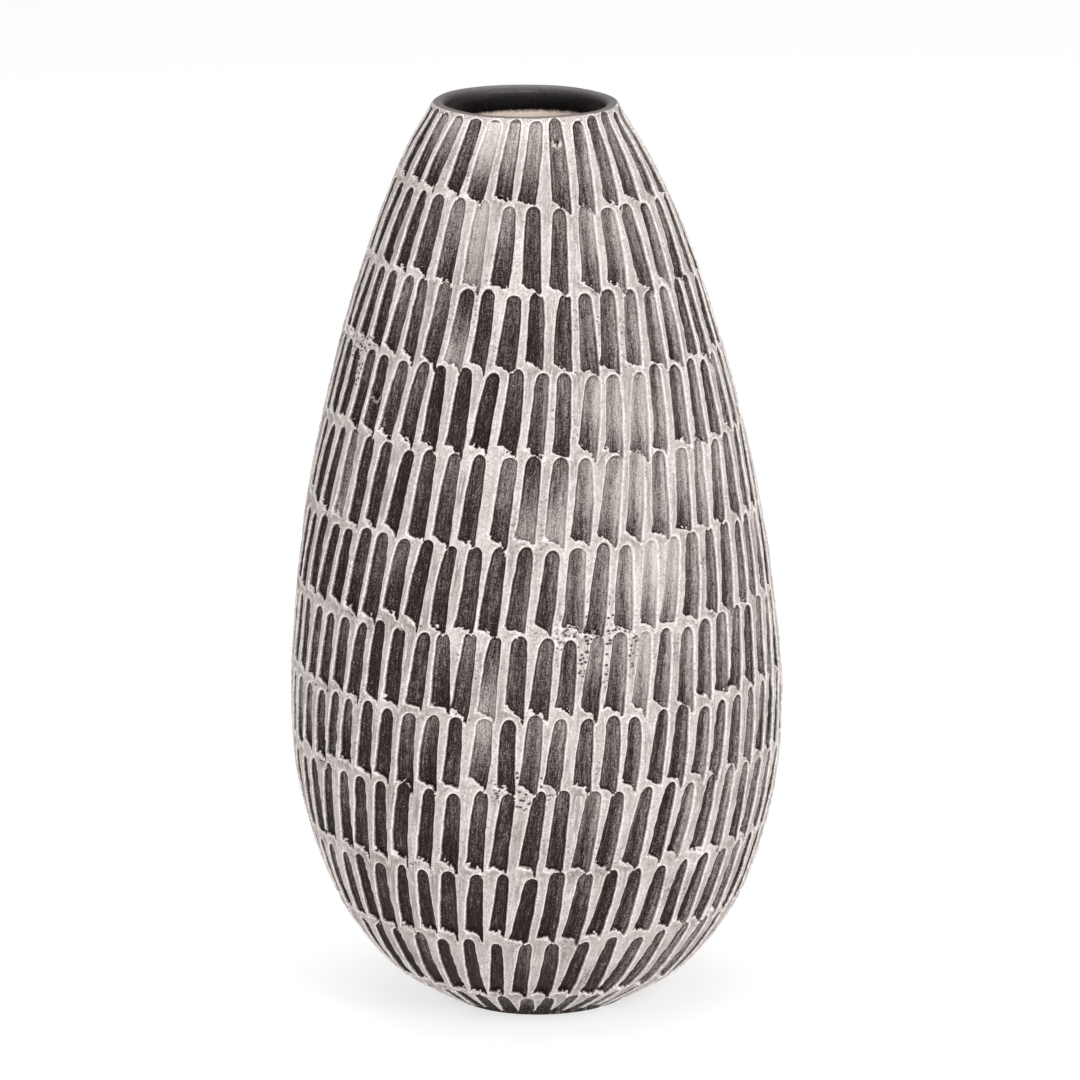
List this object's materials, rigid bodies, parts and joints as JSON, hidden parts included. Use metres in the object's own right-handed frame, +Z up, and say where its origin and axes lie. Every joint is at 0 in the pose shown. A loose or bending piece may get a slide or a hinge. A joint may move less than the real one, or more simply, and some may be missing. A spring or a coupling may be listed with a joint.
{
  "type": "carved clay vase",
  "caption": "Tall egg-shaped clay vase with a small round mouth and flat foot, its wall charcoal black and carved all over in rows of gouge marks, with pale slip on the ridges.",
  "frame": {"origin": "centre of the flat foot, on the surface it stands on", "axes": "+Z up along the vase's axis, -Y towards the front"},
  "size_m": [0.156, 0.156, 0.29],
  "materials": {
    "slipped_clay": "matte pale slip on the ridges, charcoal black in the gouge marks, raw buff clay inside",
    "black_clay": "smooth semi-matte black, ending inside the neck in a ragged edge over bare buff clay",
    "foot_clay": "bare matte buff clay, dull black towards the edge"
  },
  "bodies": {
    "root": {"base_disc": "foot_clay", "pinched_bowl": "slipped_clay", "lower_belly_course": "slipped_clay", "upper_belly_course": "slipped_clay", "lower_shoulder_course": "slipped_clay", "upper_shoulder_course": "slipped_clay", "neck_course": "slipped_clay", "rim_coil": "black_clay"}
  },
  "joints": []
}
